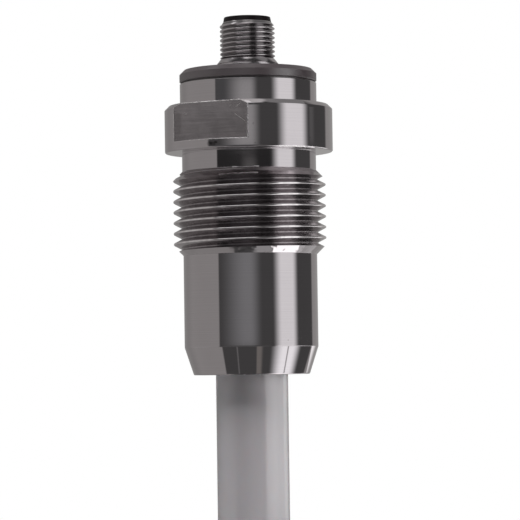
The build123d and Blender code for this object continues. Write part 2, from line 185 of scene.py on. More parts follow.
def placeCamera(view):
    polar = math.radians(view["polarAngle"])
    outward = Vector((math.cos(polar), math.sin(polar), 0))
    rightward = Vector((-math.sin(polar), math.cos(polar), 0))
    yaw = math.radians(view["yaw"])
    level = rightward * math.sin(yaw) - outward * math.cos(yaw)
    pitch = math.radians(view["pitch"])
    forward = level * math.cos(pitch) + Vector((0, 0, math.sin(pitch)))
    camera = bpy.data.objects.new("studioCamera", bpy.data.cameras.new("studioCamera"))
    bpy.context.scene.collection.objects.link(camera)
    camera.data.lens = view["lens"]
    camera.data.clip_start = view["nearest"]
    camera.data.clip_end = view["farthest"]
    turn = forward.to_track_quat("-Z", "Y").to_matrix() @ Matrix.Rotation(math.radians(view["roll"]), 3, "Z")
    camera.matrix_world = turn.to_4x4()
    camera.location = outward * view["distance"] + Vector((0, 0, view["height"]))
    bpy.context.scene.camera = camera


placeCamera(viewPoint)
print("camera placed")


def meshObject(name, mesh):
    data = bpy.data.meshes.new(name)
    mesh.to_mesh(data)
    mesh.free()
    made = bpy.data.objects.new(name, data)
    bpy.context.scene.collection.objects.link(made)
    return made


def weldedObject(name, mesh):
    bmesh.ops.remove_doubles(mesh, verts=mesh.verts, dist=weldGap)
    bmesh.ops.recalc_face_normals(mesh, faces=mesh.faces)
    return meshObject(name, mesh)


def evenRing(radius, height, count):
    turns = [whole * k / count for k in range(count)]
    return [Vector((radius * math.cos(a), radius * math.sin(a), height)) * mm for a in turns]


# A closed skin over rings of points that run round the axis, the last ring joined to the first
def ringMesh(name, rings):
    mesh = bmesh.new()
    made = [[mesh.verts.new(point) for point in ring] for ring in rings]
    count = len(rings[0])
    for low, high in zip(made, made[1:] + made[:1]):
        for k in range(count):
            after = (k + 1) % count
            mesh.faces.new((low[k], low[after], high[after], high[k]))
    return weldedObject(name, mesh)


# Corners are (radius, height, rounding) in millimetres
def roundedProfile(corners, steps=3):
    outline = []
    for k, (r, z, rounding) in enumerate(corners):
        here = Vector((r, z))
        before = (Vector(corners[k - 1][:2]) - here).normalized()
        after = (Vector(corners[(k + 1) % len(corners)][:2]) - here).normalized()
        if rounding == 0:
            outline.append(here)
            continue
        half = before.angle(after) / 2
        reach = rounding / math.tan(half)
        centre = here + (before + after).normalized() * (rounding / math.sin(half))
        start = here + before * reach - centre
        end = here + after * reach - centre
        for step in range(steps + 1):
            outline.append(centre + start.lerp(end, step / steps).normalized() * rounding)
    return outline


def turnedPiece(name, corners, count):
    return ringMesh(name, [evenRing(point.x, point.y, count) for point in roundedProfile(corners)])


# One pitch of a vee thread, from crest to crest, as (share of the pitch, radius)
def threadRidge(thread):
    slope = math.radians(thread["flank"])
    apex = thread["crestRound"] * (1 / math.sin(slope) - 1)
    crest = thread["major"] / 2
    tall = thread["pitch"] / (2 * math.tan(slope))
    base = thread["rootRound"] * (1 / math.sin(slope) - 1)
    root = crest + apex + base - tall
    sweep = math.pi / 2 - slope
    steps = thread["roundSteps"]
    points = []
    for step in range(steps + 1):
        turn = sweep * step / steps
        along = thread["crestRound"] * math.sin(turn)
        points.append((along, crest - thread["crestRound"] * (1 - math.cos(turn))))
    for step in range(steps + 1):
        turn = sweep * (1 - step / steps)
        along = thread["pitch"] / 2 - thread["rootRound"] * math.sin(turn)
        points.append((along, root + thread["rootRound"] * (1 - math.cos(turn))))
    half = [(along / thread["pitch"], radius) for along, radius in points]
    return half + [(1 - along, radius) for along, radius in reversed(half[1:-1])]


def radiusAt(ridge, share):
    share %= 1
    following = ridge[1:] + [(1.0, ridge[0][1])]
    for (low, lowRadius), (high, highRadius) in zip(ridge, following):
        if low <= share <= high:
            return lowRadius + (highRadius - lowRadius) * (share - low) / (high - low)
    return ridge[0][1]


# A solid that fills everything but the thread's groove, to cut a turned blank with
def threadMask(name, thread, low, high):
    ridge = threadRidge(thread)
    pitch = thread["pitch"]
    reach = thread["maskReach"]
    count = thread["columns"]
    turns = math.ceil((high - low) / pitch) + 2
    start = low - pitch - (low - thread["phase"]) % pitch

    mesh = bmesh.new()
    bottom = [mesh.verts.new(p) for p in evenRing(reach, low - reach, count)]
    lowRim = [mesh.verts.new(p) for p in evenRing(reach, low, count)]
    highRim = [mesh.verts.new(p) for p in evenRing(reach, high, count)]
    top = [mesh.verts.new(p) for p in evenRing(reach, high + reach, count)]
    spiral = [(turn + share, radius) for turn in range(turns) for share, radius in ridge]
    columns = []
    for k in range(count + 1):
        angle = whole * k / count
        column = []
        for at, radius in spiral:
            height = start + pitch * (at + k / count)
            level = min(max(height, low), high)
            if level != height:
                radius = radiusAt(ridge, (level - start) / pitch - k / count)
            column.append(Vector((radius * math.cos(angle), radius * math.sin(angle), level)) * mm)
        columns.append([mesh.verts.new(p) for p in column])
    for k in range(count):
        after = (k + 1) % count
        for a, b in ((bottom, lowRim), (highRim, top)):
            mesh.faces.new((a[k], a[after], b[after], b[k]))
        nextColumn = columns[k + 1]
        mesh.faces.new((lowRim[k], lowRim[after], nextColumn[0], columns[k][0]))
        mesh.faces.new((columns[k][-1], nextColumn[-1], highRim[after], highRim[k]))
        for j in range(len(spiral) - 1):
            mesh.faces.new((columns[k][j], nextColumn[j], nextColumn[j + 1], columns[k][j + 1]))
    mesh.faces.new(list(reversed(bottom)))
    mesh.faces.new(top)
    return weldedObject(name, mesh)


def applyModifier(piece, kind, **settings):
    modifier = piece.modifiers.new(kind.lower(), kind)
    for setting, value in settings.items():
        setattr(modifier, setting, value)
    bpy.context.view_layer.objects.active = piece
    bpy.ops.object.modifier_apply(modifier=modifier.name)


def cutThread(piece, thread, low, high):
    mask = threadMask(piece.name + "Mask", thread, low, high)
    applyModifier(piece, "BOOLEAN", operation="INTERSECT", solver="MANIFOLD", object=mask)
    bpy.data.objects.remove(mask)


def softShading(piece, angle=32):
    for face in piece.data.polygons:
        face.use_smooth = True
    piece.data.set_sharp_from_angle(angle=math.radians(angle))
    applyModifier(piece, "WEIGHTED_NORMAL", mode="FACE_AREA", weight=90, keep_sharp=True)


def dress(piece, shader):
    piece.data.materials.clear()
    piece.data.materials.append(shader.owner)


# The process housing, with its thread and wrench flats, in millimetres
housing = {
    "coneEnd": 12.6,
    "nose": 14.55,
    "neck": 14.6,
    "collar": 18.3,
    "tube": 14.9,
    "threadLow": 20.0,
    "threadHigh": 38.3,
    "collarLow": 42.3,
    "collarHigh": 52.55,
    "collarChamfer": 0.95,
    "capBore": (11.35, 52.3),  # radius and lower end
    "chamber": (10.7, 19),
    "flangeBore": (9.5, 6),
    "bore": 8,
    "sealMiddles": (2.6, -1.6),
    "sealGroove": 9.6,
    "sealHalf": 1.15,
    "mouth": 8.2,
    "mouthChamfer": 0.2,
    "flat": 15.85,  # from the axis
    "flatLow": 44.3,
    "flatCorner": 0.06,
    "flatLip": 0.08,
    "lipBend": 0.3,  # share of the lip where its rounded edge bends
    "flatBevel": 0.16,  # on the flat's top edge
    "flatTopGap": 1.3,  # under the collar's top, where the flat's even rows end
    "edge": 0.12,
    "mouthRound": 0.05,
    "noseRound": 0.06,
    "rootRound": 0.1,
    "neckRound": 0.15,
    "rim": 0.36,  # rounding of the collar's lower edge
    "burr": 0.02,
    "burrLeast": 0.3,  # share of the burr where it is lowest
    "burrWidth": 0.07,
    "seed": 7,
    "rowGap": 0.1,  # from a rounding to the row that keeps the surface beside it plain
    "tubeMargin": 0.5,  # over the tube's radius, within which a ring is even
    "sideColumns": 60,
    "flatColumns": 34,
    "cornerSteps": 6,
    "flatSteps": 24,
    "blankThread": 17.2,  # before the thread is cut
    "cutInset": 0.3,  # from the thread's ends
    "thread": {
        "major": 33.249,
        "pitch": 2.309,
        "flank": 27.5,  # half the angle between two flanks, in degrees
        "crestRound": 0.28,
        "rootRound": 0.12,
        "roundSteps": 5,
        "phase": 21.09,  # height of a crest on the X axis
        "columns": 360,
        "maskReach": 30,  # outer radius of the cutting solid
    },
}


def housingOutside(part, end, top):
    edge = part["edge"]
    gap = part["rowGap"]
    flare = part["blankThread"]
    chamfer = part["collarChamfer"]
    bevel = part["flatBevel"]
    return [
        (part["mouth"], end, part["mouthRound"]),
        (part["coneEnd"], end, part["rim"]),
        (part["nose"], 0, edge),
        (part["nose"], edge * 2, 0),
        (part["nose"], part["threadLow"] - gap * 2, 0),
        (part["nose"], part["threadLow"], part["noseRound"]),
        (flare, part["threadLow"] + flare - part["nose"], 0),
        (flare, part["threadHigh"] - flare + part["neck"], 0),
        (part["neck"], part["threadHigh"], part["rootRound"]),
        (part["neck"], part["collarLow"], part["neckRound"]),
        (part["collar"], part["collarLow"], part["rim"]),
        (part["collar"], part["collarLow"] + part["rim"] + gap, 0),
        (part["collar"], part["collarHigh"] - chamfer, edge),
        (part["collar"] - chamfer + bevel, part["collarHigh"] - bevel, 0),
        (part["collar"] - chamfer, part["collarHigh"], edge),
        (part["tube"], part["collarHigh"], part["rootRound"]),
        (part["tube"], top, edge),
    ]


def housingInside(part, end, top):
    capBore, capBoreEnd = part["capBore"]
    chamber, chamberEnd = part["chamber"]
    flange, flangeEnd = part["flangeBore"]
    bore = part["bore"]
    groove = part["sealGroove"]
    half = part["sealHalf"]
    corners = [
        (capBore, top),
        (capBore, capBoreEnd),
        (chamber, capBoreEnd),
        (chamber, chamberEnd),
        (flange, chamberEnd),
        (flange, flangeEnd),
        (bore, flangeEnd),
    ]
    for middle in part["sealMiddles"]:
        corners += [(bore, middle + half), (groove, middle + half)]
        corners += [(groove, middle - half), (bore, middle - half)]
    corners.append((bore, end + part["mouthChamfer"]))
    return [(radius, height, 0) for radius, height in corners]


def housingProfile(part):
    lowest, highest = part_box("process_housing")
    end = lowest.z / mm
    top = highest.z / mm
    return roundedProfile(housingOutside(part, end, top) + housingInside(part, end, top))


# Angle from the X axis to the edge of a wrench flat that lies at a distance from the axis
def flatEdgeAngle(distance, radius):
    return math.asin(min(distance / radius, 1))


# A row is its radius, height, distance of the flat or None, and radius of the lip inside the flat
def flatRows(part):
    collar = part["collar"]
    low = part["flatLow"]
    corner = part["flatCorner"]
    lip = part["flatLip"]
    bend = lip * part["lipBend"]
    ledge = part["flat"] + corner
    rows = [
        (collar, low - lip - part["rowGap"], ledge, collar),
        (collar, low - lip, ledge, collar),
        (collar, low - bend, ledge, collar - bend),
        (collar, low, ledge, collar - lip),
    ]
    for step in range(part["cornerSteps"] + 1):
        turn = math.pi / 2 * step / part["cornerSteps"]
        height = low + corner * (1 - math.cos(turn))
        rows.append((collar, height, ledge - corner * math.sin(turn), 0))
    upright = part["collarHigh"] - part["flatTopGap"] - low - corner
    for step in range(1, part["flatSteps"]):
        rows.append((collar, low + corner + upright * step / part["flatSteps"], part["flat"], 0))
    return rows


def housingRows(part):
    rows = []
    lower = flatRows(part)
    for point in housingProfile(part):
        if part["tube"] < point.x and part["flatLow"] < point.y <= part["collarHigh"]:
            rows += lower
            lower = []
            bevel = max(point.y - part["collarHigh"] + part["flatBevel"], 0)
            rows.append((point.x, point.y, part["flat"] - bevel, 0))
        else:
            rows.append((point.x, point.y, None, 0))
    return rows


# A quarter of the ring runs from the X axis over the flat's edge, and is mirrored three times
def collarRing(part, row, edgeAngle, noise):
    radius, height, distance, lip = row
    side = part["sideColumns"]
    flat = part["flatColumns"]
    margin = part["burrWidth"] / radius
    cut = distance is not None and distance < radius
    upright = cut and lip == 0
    quarter = [((edgeAngle - margin) * k / side, radius) for k in range(side + 1)]
    ridge = 0
    if upright and distance == part["flat"]:
        ridge = part["burr"] * noise.uniform(part["burrLeast"], 1.0)
    quarter.append((edgeAngle, radius + ridge))
    for k in range(flat + 1):
        angle = edgeAngle + margin + (math.pi / 2 - edgeAngle - margin) * k / flat
        inside = radius
        if upright:
            inside = distance / math.sin(angle)
        elif cut:
            inside = lip
        quarter.append((angle, inside))
    ring = list(quarter)
    ring += [(math.pi - a, r) for a, r in reversed(quarter[:-1])]
    ring += [(math.pi + a, r) for a, r in quarter[1:]]
    ring += [(whole - a, r) for a, r in reversed(quarter[1:-1])]
    return [Vector((r * math.cos(a), r * math.sin(a), height)) * mm for a, r in ring]


def housingMesh(part):
    noise = random.Random(part["seed"])
    count = 4 * (part["sideColumns"] + part["flatColumns"] + 2)
    edgeAngle = flatEdgeAngle(part["flat"] + part["flatCorner"], part["collar"])
    rings = []
    for row in housingRows(part):
        radius, height, distance, lip = row
        if distance and distance < radius:
            edgeAngle = flatEdgeAngle(distance, radius)
        onTube = distance is None and radius < part["tube"] + part["tubeMargin"]
        if onTube or height < part["threadHigh"]:
            rings.append(evenRing(radius, height, count))
        else:
            rings.append(collarRing(part, row, edgeAngle, noise))
    piece = ringMesh("turned_housing", rings)
    inset = part["cutInset"]
    cutThread(piece, part["thread"], part["threadLow"] + inset, part["threadHigh"] - inset)
    return piece


housingPiece = housingMesh(housing)
softShading(housingPiece)
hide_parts("process_housing")
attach(housingPiece, "root")
print("housing turned:", len(housingPiece.data.polygons), "faces")


# The threaded connector sleeve, in millimetres
sleeve = {
    "bore": 5.0,
    "tail": 5.5,
    "foot": 7.0,
    "footLength": 1.05,
    "footGroove": 6.35,
    "grooveWidth": 0.2,
    "cone": 6.75,
    "coneTop": 5.85,
    "coneTopRound": 0.04,
    "coneLength": 1.15,
    "relief": 5.3,
    "reliefWidth": 0.1,
    "leadIn": 5.6,
    "leadInHeight": 0.25,
    "top": 5.2,
    "topChamfer": 0.95,
    "blankThread": 6.4,  # before the thread is cut
    "cutInset": (0.03, 0.06),  # at the lower and the upper end
    "columns": 192,
    "edge": 0.06,
    "thread": {
        "major": 12.0,
        "pitch": 1.0,
        "flank": 30.0,
        "crestRound": 0.2,
        "rootRound": 0.08,
        "roundSteps": 4,
        "phase": 64.32,
        "columns": 180,
        "maskReach": 12,
    },
}


def sleeveMesh(part):
    lowest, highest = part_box("connector_shell")
    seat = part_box("end_cap")[1].z / mm
    end = lowest.z / mm
    top = highest.z / mm
    edge = part["edge"]
    footTop = seat + part["footLength"]
    coneLow = footTop + part["grooveWidth"]
    coneTop = coneLow + part["coneLength"]
    threadLow = coneTop + part["reliefWidth"]
    flare = part["blankThread"]
    slant = part["topChamfer"] / (part["thread"]["major"] / 2 - part["top"])
    corners = [
        (part["bore"], end, 0),
        (part["tail"], end, 0),
        (part["tail"], seat, 0),
        (part["foot"], seat, edge),
        (part["foot"], footTop, edge),
        (part["footGroove"], footTop, 0),
        (part["footGroove"], coneLow, 0),
        (part["cone"], coneLow, edge),
        (part["coneTop"], coneTop, part["coneTopRound"]),
        (part["relief"], coneTop, 0),
        (part["relief"], threadLow, 0),
        (part["leadIn"], threadLow, 0),
        (flare, threadLow + part["leadInHeight"], 0),
        (flare, top - slant * (flare - part["top"]), 0),
        (part["top"], top, edge),
        (part["bore"], top, 0),
    ]
    piece = turnedPiece("connector_sleeve", corners, part["columns"])
    lowInset, highInset = part["cutInset"]
    cutThread(piece, part["thread"], threadLow + lowInset, top - highInset)
    return piece


sleevePiece = sleeveMesh(sleeve)
softShading(sleevePiece)
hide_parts("connector_shell")
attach(sleevePiece, "root")
print("sleeve turned:", len(sleevePiece.data.polygons), "faces")


# Steel that was turned on a lathe: rings of fine marks, a soft cloud in the polish
turnedFinish = {
    "dark": (0.465, 0.435, 0.448, 1),
    "light": (0.555, 0.522, 0.535, 1),
    "markTone": 0.6,  # shares that the marks and the cloud have in the tone
    "cloudTone": 0.4,
    "roughness": 0.05,
    "markPitch": 0.00022,
    "markDepth": 0.0000006,
    "markStrength": 0.5,
    "markSpread": 0.02,  # of the roughness
    "cloudSize": 0.006,
    "cloudSpread": 0.03,
}


def turnedSteel(name, finish, detail=None):
    shader = newMaterial(name, Metallic=1.0)
    place, (x, y, z) = shader.axes()
    ringed = {"W": z / finish["markPitch"], "Scale": 1.0, "Detail": 2.0}
    marks = shader.add("TexNoise", {"noise_dimensions": "1D"}, ringed)
    cloud = shader.add("TexNoise", {}, {0: place, "Scale": 1 / finish["cloudSize"], "Detail": 3.0})
    tone = marks * finish["markTone"] + cloud * finish["cloudTone"]
    base = shader.blend(tone, finish["dark"], finish["light"])
    roughness = finish["roughness"] + (cloud - 0.5) * finish["cloudSpread"]
    roughness = roughness + (marks - 0.5) * finish["markSpread"]
    height = marks
    if detail:
        base, roughness, dents = detail(shader, place, [axis / mm for axis in (x, y, z)], base, roughness)
        height = marks + dents
    bump = shader.add("Bump", {}, {
        "Strength": finish["markStrength"],
        "Distance": finish["markDepth"],
        "Height": height,
    })
    shader.feed(shader.surface, {"Base Color": base, "Roughness": roughness, "Normal": bump})
    return shader


# Painted shade on the flanks and painted highlights on the crests between the two ends of a thread
def paintedThreadLight(shader, radius, height, base, look):
    crest = look["crest"]
    smooth = {"interpolation_type": "SMOOTHSTEP"}
    reached = shader.within(height, look["edges"])
    deep = shader.add("MapRange", smooth, {0: radius, 1: crest - look["brightened"], 2: crest - look["deep"]})
    brightened = shader.add("MapRange", smooth, {0: radius, 1: crest - look["brightened"], 2: crest - look["bright"]})
    base = shader.blend(deep * reached, base, look["paintedFlankShade"])
    return shader.blend(brightened * reached, base, look["paintedCrestHighlight"])


def farFromAxis(shader, x, y):
    across = shader.add("CombineXYZ", {}, {0: x, 1: y})
    return shader.add("VectorMath", {"operation": "LENGTH"}, {0: across}, "Value")


# Where the housing is milled, worn and marked, and where shade and highlights are painted on it, in
# millimetres, with edges as within() takes them
housingWearAndPaintedLight = {
    "grainScale": 900.0,
    "grainRange": (0.36, 0.58),
    "darkTone": (0.1, 0.09, 0.09, 1),
    # painted shade in the thread's grooves and a painted highlight on its crests
    "thread": {
        "crest": 16.6245,
        "bright": 0.02,  # under the crest, as the next two
        "brightened": 0.09,
        "deep": 0.26,
        "edges": (20.6, 21.6, 37.8, 38.2),
        "paintedFlankShade": (0.44, 0.41, 0.42, 1),
        "paintedCrestHighlight": (0.82, 0.78, 0.79, 1),
    },
    "threadEdges": (20.2, 20.6, 37.8, 38.2),
    "flankRoughness": 0.12,
    "soil": 0.2,  # of the dark tone, laid over the thread where the grain is low
    "runOutEdges": (37.3, 37.7, 38.2, 38.4),
    "runOutDepth": 0.12,  # over the neck
    "runOutRoughness": 0.25,
    "chamferMargin": 0.04,  # inward from the cone of the thread's lower chamfer
    "chamferHigh": 24,  # over the thread's lower chamfer and under its upper one
    "waveScale": 500.0,
    "unevenness": 400.0,  # of the thread's lower chamfer, in depths of the turning marks
    "milledEdges": (-0.014, -0.006, 0.02, 0.04),  # outward from the flat
    "milledLow": 0.03,  # over the flat's lower end
    "milledTone": (0.27, 0.25, 0.26, 1),
    "milledStreak": (0.44, 0.41, 0.425, 1),
    "milledLevel": 0.42,  # between the two tones
    "milledRoughness": 0.26,
    "streakScales": (0.12, 0.1, 5.0),  # along x, y and z
    "streakShare": 1.8,
    "patchScale": 260.0,
    "patchShare": 1.6,
    "blotch": {"from": (-8.2, 49.6), "to": (-8.3, 46.6), "width": 1.3, "share": 0.3},
    "shadeHeight": 6.5,  # of the darker foot of the flat
    "shadeShare": 0.22,
    # tone of the scratches, the band beside the flat and the painted edge highlights
    "wearAndGlintTone": (0.95, 0.91, 0.92, 1),
    "wearAndGlintRoughness": 0.55,
    "glintLeast": 0.5,  # share that is left where the grain breaks it up
    "besideEdges": (-0.17, -0.12, -0.03, -0.012),  # outward from the flat
    "besideShare": 0.8,
    # the flat's top edge and its lower lip carry painted highlights
    "rimEdges": (52.32, 52.4, 52.6, 52.7),
    "rimReach": 0.05,  # inward from the flat
    "rimRadius": 15.8,
    "lipEdges": (-0.2, -0.14, 0, 0.02),  # upward from the flat's lower end
    "fadeAlong": (-7.0, 4.0),  # painted highlights of the rim and lip, from the faint left end to the full right one
    "fadeLeast": 0.35,
    "lightShare": 0.45,
    "lightMarks": [
        {"from": (6.11, 49.5), "to": (8.61, 47.8), "width": 0.08},
        {"from": (6.45, 50.9), "to": (7.58, 51.65), "width": 0.09},
        {"from": (5.0, 51.25), "to": (5.1, 51.3), "width": 0.16},
        {"from": (-6.1, 50.08), "to": (-6.02, 50.1), "width": 0.15},
    ],
    # painted highlights along the collar's lower rim and the thread's upper end
    "rimGlints": [
        {"radius": 18.2, "from": (21, 42.42), "to": (31, 42.42), "width": 0.3},
        {"radius": 18.2, "from": (31, 42.42), "to": (41, 42.42), "width": 0.36},
        {"radius": 18.2, "from": (41, 42.42), "to": (50, 42.42), "width": 0.36},
        {"radius": 16.1, "from": (-23, 36.68), "to": (-7, 36.84), "width": 0.32},
        {"radius": 16.0, "from": (-7, 36.84), "to": (6, 36.97), "width": 0.3},
        {"radius": 14.62, "from": (-14, 38.3), "to": (8, 38.38), "width": 0.24},
    ],
    "darkShare": 0.85,
    "darkLeast": 0.25,
    "darkMarks": [
        {"radius": 18.3, "from": (-28.0, 43.3), "to": (-24.0, 43.1), "width": 0.55},
        {"radius": 18.3, "from": (-23.0, 43.5), "to": (-22.0, 43.4), "width": 0.3},
        {"radius": 18.3, "from": (3.0, 47.2), "to": (3.2, 47.3), "width": 0.17},
        {"radius": 18.3, "from": (4.0, 43.05), "to": (4.3, 43.1), "width": 0.22},
        {"radius": 18.3, "from": (45.6, 44.4), "to": (45.8, 44.4), "width": 0.17},
        {"radius": 14.55, "from": (32.3, 1.3), "to": (32.5, 1.3), "width": 0.17},
        {"radius": 12.9, "from": (-49.2, -4.42), "to": (-49.0, -4.42), "width": 0.2},
        # a dark slash across the thread's lower chamfer: a painted reflection of a thin dark thing below
        {"radius": 15.1, "from": (28.2, 20.4), "to": (28.6, 20.8), "width": 0.35},
    ],
}


# A mark on the wrench flat the photograph shows, by distance to the right and height
def flatStroke(shader, place, mark):
    start, end = [Vector((x, -housing["flat"], z)) * mm for x, z in (mark["from"], mark["to"])]
    return shader.stroke(place, start, end, mark["width"] * mm)


# A mark on a turned surface, by degrees to the right of the front and height
def roundStroke(shader, place, mark):
    ends = []
    for azimuth, z in (mark["from"], mark["to"]):
        polar = math.radians(frontAngle + azimuth)
        ends.append(Vector((mark["radius"] * math.cos(polar), mark["radius"] * math.sin(polar), z)) * mm)
    return shader.stroke(place, ends[0], ends[1], mark["width"] * mm)


def shifted(start, edges):
    return tuple(start + edge for edge in edges)


# Full where the grain is whole, and down to the least share where it is broken up
def patchy(grain, least):
    return least + grain * (1 - least)


def threadLook(shader, at, base, roughness):
    wear = housingWearAndPaintedLight
    thread = wear["thread"]
    threaded = paintedThreadLight(shader, at["radius"], at["z"], base, thread)
    threaded = shader.blend((1 - at["grain"]) * wear["soil"], threaded, wear["darkTone"])
    inThread = shader.within(at["z"], wear["threadEdges"]) * (1 - at["chamfer"])
    base = shader.blend(inThread, base, threaded)
    flank = inThread * (at["radius"] < thread["crest"] - thread["brightened"])
    roughness = roughness + flank * wear["flankRoughness"]
    # Painted shade where the thread runs out over the neck, in the flanks' shaded tone
    overNeck = at["radius"] > housing["neck"] + wear["runOutDepth"]
    runOut = shader.within(at["z"], wear["runOutEdges"]) * overNeck
    base = shader.blend(runOut, base, thread["paintedFlankShade"])
    return base, roughness + runOut * wear["runOutRoughness"]


def milledLook(shader, at, base, roughness):
    wear = housingWearAndPaintedLight
    low = housing["flatLow"]
    milled = shader.within(at["side"], shifted(housing["flat"], wear["milledEdges"]))
    milled = milled * (at["z"] > low + wear["milledLow"])
    alongX, alongY, alongZ = wear["streakScales"]
    stretched = shader.add("CombineXYZ", {}, {0: at["x"] * alongX, 1: at["y"] * alongY, 2: at["z"] * alongZ})
    fine = {"Vector": stretched, "Scale": 1.0, "Detail": 3.0, "Roughness": 0.7}
    broad = {"Vector": at["place"], "Scale": wear["patchScale"], "Detail": 4.0, "Roughness": 0.7}
    streak = shader.add("TexNoise", {}, fine)
    patch = shader.add("TexNoise", {}, broad)
    uneven = (streak - 0.5) * wear["streakShare"] + (patch - 0.5) * wear["patchShare"] + wear["milledLevel"]
    uneven = shader.add("Clamp", {}, {0: uneven})
    tone = shader.blend(uneven, wear["milledTone"], wear["milledStreak"])
    blotch = flatStroke(shader, at["place"], wear["blotch"]) * wear["blotch"]["share"]
    tone = shader.blend(blotch, tone, wear["darkTone"])
    foot = {0: at["z"], 1: low, 2: low + wear["shadeHeight"], 3: wear["shadeShare"], 4: 0.0}
    tone = shader.blend(shader.add("MapRange", {}, foot), tone, wear["darkTone"])
    base = shader.blend(milled, base, tone)
    return base, roughness + milled * (wear["milledRoughness"] - roughness)


# Scratches and a band beside the flat, with painted highlights on the flat's top edge, its lip and the rims
def wearAndGlintLook(shader, at, base, roughness):
    wear = housingWearAndPaintedLight
    flat = housing["flat"]
    low = housing["flatLow"]
    patches = patchy(at["grain"], wear["glintLeast"])
    beside = shader.within(at["side"], shifted(flat, wear["besideEdges"])) * (at["z"] > low)
    rim = shader.within(at["z"], wear["rimEdges"]) * (at["side"] > flat - wear["rimReach"])
    rim = rim * (at["radius"] > wear["rimRadius"])
    lip = shader.within(at["z"], shifted(low, wear["lipEdges"])) * (at["side"] > flat)
    left, right = wear["fadeAlong"]
    fade = shader.add("MapRange", {}, {0: at["x"], 1: left, 2: right, 3: wear["fadeLeast"], 4: 1.0})
    brightened = beside * at["grain"] * wear["besideShare"] + (rim + lip) * fade * patches
    for mark in wear["lightMarks"]:
        brightened = brightened + flatStroke(shader, at["place"], mark) * wear["lightShare"]
    for mark in wear["rimGlints"]:
        brightened = brightened + roundStroke(shader, at["place"], mark) * patches
    brightened = shader.add("Clamp", {}, {0: brightened})
    base = shader.blend(brightened, base, wear["wearAndGlintTone"])
    return base, roughness + brightened * (wear["wearAndGlintRoughness"] - roughness)


def darkLook(shader, at, base):
    wear = housingWearAndPaintedLight
    dark = 0.0
    for mark in wear["darkMarks"]:
        dark = dark + roundStroke(shader, at["place"], mark)
    dark = shader.add("Clamp", {}, {0: dark * patchy(at["grain"], wear["darkLeast"])})
    return shader.blend(dark * wear["darkShare"], base, wear["darkTone"])


# Returns the tone, the roughness and the dents of the housing's surface
def housingDetail(shader, place, axes, base, roughness):
    x, y, z = axes
    wear = housingWearAndPaintedLight
    radius = farFromAxis(shader, x, y)
    outside = (radius - z) > (housing["nose"] - housing["threadLow"] - wear["chamferMargin"])
    noise = shader.add("TexNoise", {}, {0: place, "Scale": wear["grainScale"], "Detail": 2.0})
    least, most = wear["grainRange"]
    at = {
        "place": place,
        "x": x,
        "y": y,
        "z": z,
        "radius": radius,
        "side": shader.add("Math", {"operation": "ABSOLUTE"}, {0: y}),
        "grain": shader.add("MapRange", {}, {0: noise, 1: least, 2: most}),
        "chamfer": (z < wear["chamferHigh"]) * outside,
    }
    base, roughness = threadLook(shader, at, base, roughness)
    base, roughness = milledLook(shader, at, base, roughness)
    base, roughness = wearAndGlintLook(shader, at, base, roughness)
    base = darkLook(shader, at, base)
    wave = shader.add("TexNoise", {}, {0: place, "Scale": wear["waveScale"], "Detail": 1.0})
    return base, roughness, wave * (z > housing["threadLow"]) * at["chamfer"] * wear["unevenness"]


# The plug's soft thread, with painted shade in its grooves and a painted highlight on its crests
sleevePaintedLight = {
    "crest": 6.0,
    "bright": 0.02,
    "brightened": 0.16,
    "deep": 0.42,
    "edges": (62.6, 63.0, 70.6, 70.9),
    "paintedFlankShade": (0.28, 0.265, 0.27, 1),
    "paintedCrestHighlight": (0.56, 0.53, 0.54, 1),
}


def sleeveDetail(shader, place, axes, base, roughness):
    x, y, z = axes
    radius = farFromAxis(shader, x, y)
    return paintedThreadLight(shader, radius, z, base, sleevePaintedLight), roughness, 0.0


sleeveFinish = dict(turnedFinish, roughness=0.17)
dress(housingPiece, turnedSteel("turnedSteel", turnedFinish, housingDetail))
dress(sleevePiece, turnedSteel("sleeveSteel", sleeveFinish, sleeveDetail))


# Moulded, plated and rubber surfaces with a fine grain
grainLook = {
    "broadScale": 0.06,  # of the slow change of tone, against the grain's
    "strength": 0.4,
    "roughnessSpread": 0.1,
}


def grainyMaterial(name, base, roughness, grain=0.0004, depth=0.000004, spread=0.15, **more):
    shader = newMaterial(name, **more)
    place, axes = shader.axes()
    fine = shader.add("TexNoise", {}, {0: place, "Scale": 1 / grain, "Detail": 3.0})
    broad = shader.add("TexNoise", {}, {0: place, "Scale": grainLook["broadScale"] / grain, "Detail": 2.0})
    low = tuple(c * (1 - spread) for c in base[:3]) + (1,)
    high = tuple(min(c * (1 + spread), 1) for c in base[:3]) + (1,)
    bump = {"Strength": grainLook["strength"], "Distance": depth, "Height": fine}
    shader.feed(shader.surface, {
        "Base Color": shader.blend(broad, low, high),
        "Roughness": roughness + (fine - 0.5) * grainLook["roughnessSpread"],
        "Normal": shader.add("Bump", {}, bump),
    })
    return shader


